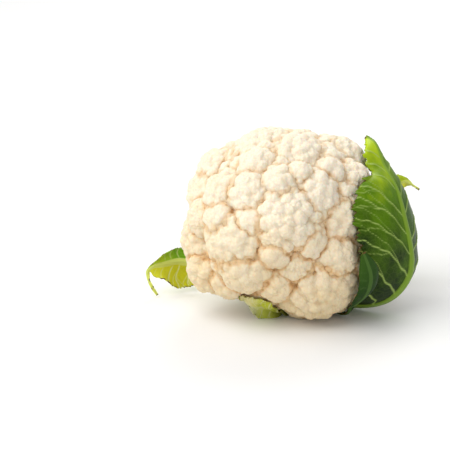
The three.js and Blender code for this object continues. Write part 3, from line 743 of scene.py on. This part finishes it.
def grow_leaf(name, rows, teeth, wave, sag, rib, grid, veins, material, seed):
    """One leaf: its blade is a grid drawn over three curves, then given its thickness, ribs and edge."""
    slices, columns = grid
    tooth_count, tooth_depth = teeth
    wave_count, wave_height = wave
    foot_width, tip_width, rib_height = rib
    vein_spacing, relief = veins
    spine, left, right = (curve_through(from_face([row[n] for row in rows]), slices) for n in range(3))
    tangent = np.gradient(spine, axis=0)
    length = float(np.linalg.norm(np.diff(spine, axis=0), axis=1).sum())
    t = np.linspace(0, 1, slices + 1)
    half = columns // 2
    share = np.abs(np.linspace(-1, 1, columns + 1))
    blade = bmesh.new()
    bmesh.ops.create_grid(blade, x_segments=columns, y_segments=slices, size=1)
    blade.verts.sort(key=lambda v: 10 * round((v.co.y + 1) * slices / 2) + v.co.x)
    blade.verts.index_update()

    outward = np.cross(right - left, tangent)
    outward /= np.linalg.norm(outward, axis=1)[:, None]
    big = (t * tooth_count) % 1
    small = (t * tooth_count * SMALL_TEETH) % 1
    steps = np.arange(RAGGED_STEPS + 1)
    ragged = np.interp(t * RAGGED_STEPS, steps, chance(steps + seed))
    torn = 1 + TORN_BY * rise(t, TORN_FROM, TORN_OVER)
    bite = tooth_depth * torn * (BIG_BITE * big + SMALL_BITE * small + RAGGED_BITE * (ragged - 0.5))
    rib_width = foot_width + (tip_width - foot_width) * t
    line = np.zeros((slices + 1, columns + 1, 3))
    swell = np.zeros((slices + 1, columns + 1))
    vein = np.zeros((slices + 1, columns + 1))
    off_rib = np.zeros((slices + 1, columns + 1))
    halves = ((left, sag[0], 0, seed), (right, sag[1], 2, seed + 50))
    for j, s in enumerate(share):
        border, bulge, phase, draws = halves[j >= half]
        edge = border - spine
        reach = np.linalg.norm(edge, axis=1)
        trimmed = s * (1 - bite * rise(s, TEETH_FROM, 1 - TEETH_FROM))
        ripple = wave_height * s**2 * np.sin(2 * pi * wave_count * t + phase)
        line[:, j] = spine + edge * trimmed[:, None]
        line[:, j] += outward * (4 * s * (1 - s) * bulge * reach + ripple)[:, None]
        near = np.minimum(RIB_SHARE, rib_width / reach)
        swell[:, j] = np.sqrt(np.clip(1 - (s / near) ** 2, 0, 1))
        off_rib[:, j] = s * reach
        vein[:, j] = side_veins(t * length, s * reach, reach.max(), vein_spacing, draws)
        vein[:, j] *= rise(reach, NARROW, NARROW)
    points = clear_of_curd(line.reshape(-1, 3)).reshape(line.shape)
    normals = np.cross(np.gradient(points, axis=1), np.gradient(points, axis=0))
    normals /= np.maximum(1e-9, np.linalg.norm(normals, axis=2))[:, :, None]
    quilt = scattered(points.reshape(-1, 3), QUILT, seed).reshape(swell.shape) / QUILT
    fade = rise(off_rib, RIB_CLEAR, RIB_FADE) * np.clip((1 - share[None, :]) / EDGE_FADE, EDGE_RELIEF, 1)
    blisters = QUILT_DEPTH * np.clip(1 - quilt, 0, 1) * (1 - vein)
    lift = relief * (VEIN_LIFT * vein - blisters) * fade
    points += normals * lift[:, :, None]

    petiole = PETIOLE * np.clip(1 - t / PETIOLE_ENDS, 0, None)
    raised = np.maximum(petiole, rib_height * (1 - RIB_TAPER * t))[:, None] * swell
    sunk = (PETIOLE_INSIDE * petiole)[:, None] * swell
    outer = points + normals * (BLADE / 2 + raised)[:, :, None]
    inner = (points - normals * (BLADE / 2 + sunk)[:, :, None]).reshape(-1, 3)
    side = np.where(np.arange(columns + 1) < half, -1.0, 1.0)
    dry_tip = np.clip((t[:, None] - DRY_FROM) / DRY_OVER, 0, DRY_TIP)
    facts = {
        "vein": vein * rise(off_rib, VEIN_CLEAR, VEIN_FADE),
        "rib": np.clip(swell * RIB_PALE, 0, 1),
        "along": np.repeat(t[:, None], columns + 1, axis=1),
        "run": np.repeat(t[:, None] * length, columns + 1, axis=1),
        "off": off_rib * side,
        "edge": np.maximum(share[None, :] ** DRY_POWER, dry_tip),
    }
    place = blade.verts.layers.int.new("place")
    layers = {word: blade.verts.layers.float.new(word) for word in facts}
    for n, (vertex, point) in enumerate(zip(blade.verts, outer.reshape(-1, 3))):
        vertex.co = point
        vertex[place] = n
    for word, layer in layers.items():
        for vertex, value in zip(blade.verts, facts[word].ravel()):
            vertex[layer] = value
    back = bmesh.ops.extrude_face_region(blade, geom=blade.faces[:], use_keep_orig=True)
    for vertex in back["geom"]:
        if isinstance(vertex, bmesh.types.BMVert):
            vertex.co = inner[vertex[place]]
    for vertex in blade.verts:
        vertex.co.z = max(vertex.co.z, 0.0)
    bmesh.ops.recalc_face_normals(blade, faces=blade.faces)
    finish_mesh(f"{name}_blade", blade, material, name)


SKIN_COLOURS = [f"{side} {part}" for side in ("Left", "Right") for part in ("Foot", "Middle", "Tip")]
SKIN_COLOURS += ["Vein", "Rib", "Brown"]


def leaf_skin_group():
    """A leaf's skin over a net of fine veins, its colours running from foot to tip on each half."""
    group, given, made = shader_group(
        "leaf_skin",
        {word: COLOUR for word in SKIN_COLOURS},
        {"Colour": COLOUR, "Height": VALUE},
    )
    fact = {word: fact_of(group, word) for word in ("vein", "rib", "along", "run", "off", "edge")}
    mottle = placed(group, MOTTLE, Patch_Scale=45.0, Grain_Scale=260.0).outputs
    flat = linked(group, "ShaderNodeCombineXYZ", X=fact["run"], Y=fact["off"]).outputs[0]
    nets = []
    for scale, width, strength in ((0.16, 0.08, 0.08), (0.5, 0.12, 0.05)):
        net = linked(group, "ShaderNodeTexVoronoi", Vector=flat, Scale=scale)
        net.feature = "DISTANCE_TO_EDGE"
        nets.append(ranged(group, net.outputs["Distance"], 0, width, strength, 0))
    shift = math_of(group, "MULTIPLY", math_of(group, "SUBTRACT", mottle["Patches"], 0.5), 0.55)
    spot = math_of(group, "ADD", fact["along"], shift)
    halves = []
    for side in ("Left", "Right"):
        foot, middle, tip = (given[f"{side} {part}"] for part in ("Foot", "Middle", "Tip"))
        lower = mix_colours(group, ranged(group, spot, 0.3, 0.66), foot, middle)
        halves.append(mix_colours(group, ranged(group, spot, 0.66, 0.9), lower, tip))
    base = mix_colours(group, ranged(group, fact["off"], -2, 2), *halves)
    shown = math_of(group, "MAXIMUM", math_of(group, "MAXIMUM", *nets), fact["vein"])
    base = mix_colours(group, shown, base, given["Vein"])
    stretched = linked(group, "ShaderNodeMapping", Vector=flat, Scale=(0.03, 0.9, 1)).outputs[0]
    stripes = linked(group, "ShaderNodeTexNoise", Vector=stretched, Scale=1.0, Detail=2.0).outputs[0]
    base = mix_colours(group, math_of(group, "MULTIPLY", fact["rib"], stripes), base, given["Vein"])
    base = mix_colours(group, math_of(group, "MULTIPLY", fact["rib"], 0.75), base, given["Rib"])
    burnt = ranged(group, math_of(group, "MULTIPLY", mottle["Grain"], fact["edge"]), 0.46, 0.58)
    group.links.new(mix_colours(group, burnt, base, given["Brown"]), made["Colour"])
    height = math_of(group, "ADD", nets[0], nets[1])
    height = math_of(group, "ADD", height, math_of(group, "MULTIPLY", mottle["Patches"], 0.5))
    group.links.new(height, made["Height"])
    return group


LEAF_SKIN = leaf_skin_group()


def leaf_finish(name, left, right, vein, rib, roughness, brown=(0.12, 0.07, 0.02, 1)):
    """Crisp waxy leaf, with colours given from foot to tip on either side of the midrib, which on the large
    leaf include painted shade.
    """
    material, tree, shader = fresh_material(name)
    colours = dict(zip(SKIN_COLOURS, (*left, *right, vein, rib, brown)))
    skin = placed(tree, LEAF_SKIN, **colours)
    tree.links.new(skin.outputs["Colour"], shader.inputs["Base Color"])
    bumped(tree, shader, skin.outputs["Height"], 0.5, 0.0012)
    shader.inputs["Roughness"].default_value = roughness
    shader.inputs["Specular IOR Level"].default_value = 0.08
    return material


# The large leaf rises from the right of the stalk, passes under the curd, and wraps up its right side.
# Its green runs from dark low down, under the curd, to brighter higher up, partly its own colour and partly
# painted shade, and its right half, which curls away from the light, is painted darker as shade. It is
# glossy, and its torn tip is yellow-green.

grow_leaf(
    "leaf_large",
    rows=[
        [(8, -38, -58), (6, -32, -54), (10, -44, -62)],
        [(34, -62, -44), (31, -55, -39), (36, -68, -49)],
        [(64, -72, -18), (60, -67, -11), (68, -71, -26)],
        [(85, -70, -6), (68, -66, 12), (90, -68, -17)],
        [(97, -65, 0), (69, -57, 27), (102, -61, -12)],
        [(105, -57, 5), (70, -45, 38), (111, -52, -10)],
        [(111, -47, 9), (67, -32, 49), (115, -38, -22)],
        [(113, -35, 13), (62, -20, 58), (112, -24, -40)],
        [(112, -24, 16), (60, -8, 62), (110, -11, -46)],
        [(110, -13, 19), (58, 4, 63), (109, 1, -46)],
        [(107, 0, 20), (58, 14, 61), (106, 12, -44)],
        [(104, 14, 18), (60, 25, 56), (103, 23, -41)],
        [(100, 28, 14), (66, 35, 47), (99, 33, -36)],
        [(94, 40, 9), (77, 43, 27), (95, 43, -28)],
        [(89, 50, 4), (69, 49, 23), (91, 53, -20)],
        [(86, 60, -1), (70, 60, 15), (88, 61, -14)],
        [(82, 69, -6), (74, 69, 3), (84, 69, -11)],
        [(75, 74, -10), (74, 73, -9), (75.5, 75, -11)],
    ],
    teeth=(14, 0.13),
    wave=(5, 1.5),
    sag=(0.08, 0.15),
    rib=(7.5, 1.6, 2.6),
    grid=(210, 116),
    veins=(24.0, 0.9),
    material=leaf_finish(
        "leaf_green",
        # The left half faces the light; the darkness of its foot, under the curd, is painted shade
        left=((0.006, 0.022, 0.001, 1), (0.1, 0.22, 0.001, 1), (0.46, 0.62, 0.004, 1)),
        # The right half is painted darker than the left, as shade, for it curls away from the light
        right=((0.012, 0.04, 0.004, 1), (0.05, 0.12, 0.01, 1), (0.16, 0.28, 0.015, 1)),
        vein=(0.42, 0.57, 0.14, 1),
        rib=(0.19, 0.33, 0.015, 1),
        roughness=0.36,
    ),
    seed=40,
)


# A small dark leaf grows inside the large one, between it and the lowest florets at the right. It is
# young, so its blade is narrow, its midrib slight and its edge nearly whole.

grow_leaf(
    "leaf_inner",
    rows=[
        [(16, -44, -41), (16, -41, -38), (16, -47, -44)],
        [(38, -68, -20), (36, -66, -16), (40, -69, -24)],
        [(57, -73, 8), (54, -71, 10), (60, -74, 5)],
        [(66, -69, 26), (59, -71, 25), (72, -65, 25)],
        [(74, -59, 39), (64, -62, 40), (81, -54, 37)],
        [(76, -46, 49), (66, -50, 48), (83, -43, 46)],
        [(73, -35, 56), (66, -39, 53), (79, -33, 54)],
        [(69, -26, 61), (67, -28, 60), (71, -25, 61)],
    ],
    teeth=(4, 0.05),
    wave=(2, 0.6),
    sag=(0.1, 0.1),
    rib=(4, 1, 1.2),
    grid=(110, 44),
    veins=(13.0, 0.5),
    material=leaf_finish(
        "leaf_dark",
        left=((0.01, 0.035, 0.004, 1), (0.02, 0.06, 0.006, 1), (0.035, 0.09, 0.008, 1)),
        right=((0.008, 0.028, 0.004, 1), (0.015, 0.045, 0.006, 1), (0.025, 0.07, 0.008, 1)),
        vein=(0.1, 0.17, 0.05, 1),
        rib=(0.06, 0.13, 0.02, 1),
        roughness=0.4,
    ),
    seed=140,
)


# A small pale leaf lies under the front of the curd, pressed between it and the surface. It grew in the
# curd's shade, which kept it pale, and its ragged upper edge lies against the lowest florets.

grow_leaf(
    "leaf_front",
    rows=[
        [(2, -40, -62), (6, -38, -60), (-2, -42, -64)],
        [(8, -62, -40), (12, -61, -39), (4, -63, -42)],
        [(6, -75, -14), (9, -72, -12), (3, -78, -16)],
        [(-1, -77, -3), (1, -70, 5), (-1, -84, -6)],
        [(-9, -74, 7), (-5, -58, 21), (-9, -85, -2)],
        [(-17, -70, 14), (-12, -51, 29), (-18, -85, 0)],
        [(-24, -67, 17), (-22, -50, 31), (-25, -78, 9)],
        [(-32, -62, 19), (-31, -55, 24), (-32, -67, 15)],
    ],
    teeth=(5, 0.12),
    wave=(3, 1),
    sag=(0.1, 0.1),
    rib=(4, 0.8, 1),
    grid=(110, 44),
    veins=(12.0, 0.5),
    material=leaf_finish(
        "leaf_pale",
        left=((0.14, 0.17, 0.008, 1), (0.5, 0.55, 0.03, 1), (0.64, 0.57, 0.26, 1)),
        right=((0.16, 0.2, 0.01, 1), (0.55, 0.6, 0.08, 1), (0.62, 0.62, 0.36, 1)),
        vein=(0.66, 0.66, 0.36, 1),
        rib=(0.6, 0.6, 0.3, 1),
        roughness=0.45,
        brown=(0.2, 0.22, 0.04, 1),
    ),
    seed=240,
)


# Two yellow-green leaves stand behind the curd. The left one shows below it, the right one only by its
# tip, and each ends in a thin curled strand where the blade has withered from the midrib.

YELLOW_LEAF = leaf_finish(
    "leaf_yellow",
    left=((0.14, 0.34, 0.008, 1), (0.45, 0.6, 0.02, 1), (0.68, 0.76, 0.12, 1)),
    right=((0.5, 0.5, 0.01, 1), (0.64, 0.66, 0.03, 1), (0.74, 0.76, 0.16, 1)),
    vein=(0.66, 0.72, 0.3, 1),
    rib=(0.56, 0.62, 0.13, 1),
    roughness=0.42,
)
grow_leaf(
    "leaf_left",
    rows=[
        [(-6, -39, -60), (-6, -35, -59), (-6, -43, -62)],
        [(-45, -43, -64), (-45, -38, -64), (-45, -48, -64)],
        [(-76, -37, -66), (-76, -24, -68), (-72, -56, -66)],
        [(-89, -35, -62), (-87, -22, -66), (-82, -60, -62)],
        [(-96, -36, -58), (-94, -24, -60), (-94, -58, -55)],
        [(-104, -38, -52), (-102, -28, -54), (-104, -51, -51)],
        [(-111, -39, -48), (-109, -34, -49), (-111, -49, -49)],
        [(-116, -43, -48), (-117, -42.2, -47.5), (-114.5, -44.5, -48.5)],
        [(-116, -51, -50), (-117, -51, -50), (-115, -51, -50)],
        [(-112, -59, -50), (-113, -59.5, -50), (-111, -58.5, -50)],
        [(-108, -65, -50), (-108.6, -65.4, -50), (-107.4, -64.6, -50)],
    ],
    teeth=(6, 0.1),
    wave=(3, 1.2),
    sag=(0.12, 0.12),
    rib=(4.2, 0.5, 1.6),
    grid=(140, 50),
    veins=(13.0, 0.5),
    material=YELLOW_LEAF,
    seed=340,
)
grow_leaf(
    "leaf_rear",
    rows=[
        [(10, -34, -68), (8, -30, -68), (12, -38, -68)],
        [(40, -36, -84), (37, -30, -84), (43, -42, -83)],
        [(68, -26, -86), (56, -8, -88), (77, -40, -80)],
        [(88, -8, -82), (70, 12, -84), (100, -24, -72)],
        [(99, 8, -74), (82, 30, -74), (108, -8, -66)],
        [(105, 23, -65), (93, 40, -64), (109, 16, -60)],
        [(110, 34, -58), (106, 43, -58), (111, 28, -56)],
        [(114, 36, -54), (115.5, 39, -54), (113, 32, -54)],
        [(118, 33.5, -51), (118.6, 34.3, -51), (117.4, 32.7, -51)],
        [(125, 29, -48), (125, 29.7, -48), (125, 28.3, -48)],
    ],
    teeth=(6, 0.1),
    wave=(3, 1.5),
    sag=(0.12, 0.12),
    rib=(5, 0.5, 1.8),
    grid=(140, 50),
    veins=(15.0, 0.6),
    material=YELLOW_LEAF,
    seed=440,
)


# The stage is a plain white surface under soft light, most of it from the upper left, seen through a
# long lens from 18 degrees above.

floor = bmesh.new()
bmesh.ops.create_grid(floor, x_segments=1, y_segments=1, size=6)
floor_mesh = bpy.data.meshes.new("floor")
floor.to_mesh(floor_mesh)
floor.free()
floor_piece = bpy.data.objects.new("floor", floor_mesh)
bpy.context.scene.collection.objects.link(floor_piece)
paper, _, surface = fresh_material("floor")
surface.inputs["Base Color"].default_value = (0.86, 0.86, 0.86, 1)
surface.inputs["Roughness"].default_value = 0.9
floor_mesh.materials.append(paper)

world = bpy.data.worlds.new("studio")
world.use_nodes = True
sky = world.node_tree.nodes["Background"].inputs
sky["Color"].default_value = (1, 1, 1, 1)
sky["Strength"].default_value = 0.47
bpy.context.scene.world = world

HEAD_MIDDLE = Vector((0, 0, 0.08))


def soft_light(name, place, size, watts, colour):
    """A large square lamp that faces the head."""
    lamp = bpy.data.lights.new(name, "AREA")
    lamp.size, lamp.energy, lamp.color = size, watts, colour
    stand = bpy.data.objects.new(name, lamp)
    stand.location = place
    aim = HEAD_MIDDLE - Vector(place)
    stand.rotation_mode = "QUATERNION"
    stand.rotation_quaternion = aim.to_track_quat("-Z", "Y")
    bpy.context.scene.collection.objects.link(stand)


soft_light("key", (-1.0, -0.55, 1.45), 2.2, 37, (1.0, 0.985, 0.96))
soft_light("fill", (1.3, -1.2, 0.6), 1.2, 2, (1.0, 1.0, 1.0))
soft_light("back", (0.4, 1.3, 1.2), 1.0, 12, (1.0, 1.0, 1.0))

# The view is this wide at the curd's middle, and is centred to the left of it and a little lower
LENS, SENSOR, VIEW_WIDTH, VIEW_LEFT, VIEW_DOWN = 200.0, 36.0, 0.3915, 47.9, 2.6
view_middle = CURD_MIDDLE - VIEW_LEFT * ACROSS - VIEW_DOWN * FACE_UP
distance = VIEW_WIDTH * LENS / SENSOR
camera = bpy.data.cameras.new("camera")
camera.lens, camera.sensor_width = LENS, SENSOR
camera_stand = bpy.data.objects.new("camera", camera)
camera_stand.location = Vector(view_middle) * MM + Vector(TO_VIEWER) * distance
camera_stand.rotation_mode = "QUATERNION"
camera_stand.rotation_quaternion = (-Vector(TO_VIEWER)).to_track_quat("-Z", "Y")
bpy.context.scene.collection.objects.link(camera_stand)
bpy.context.scene.camera = camera_stand
bpy.context.scene.view_settings.view_transform = "Standard"
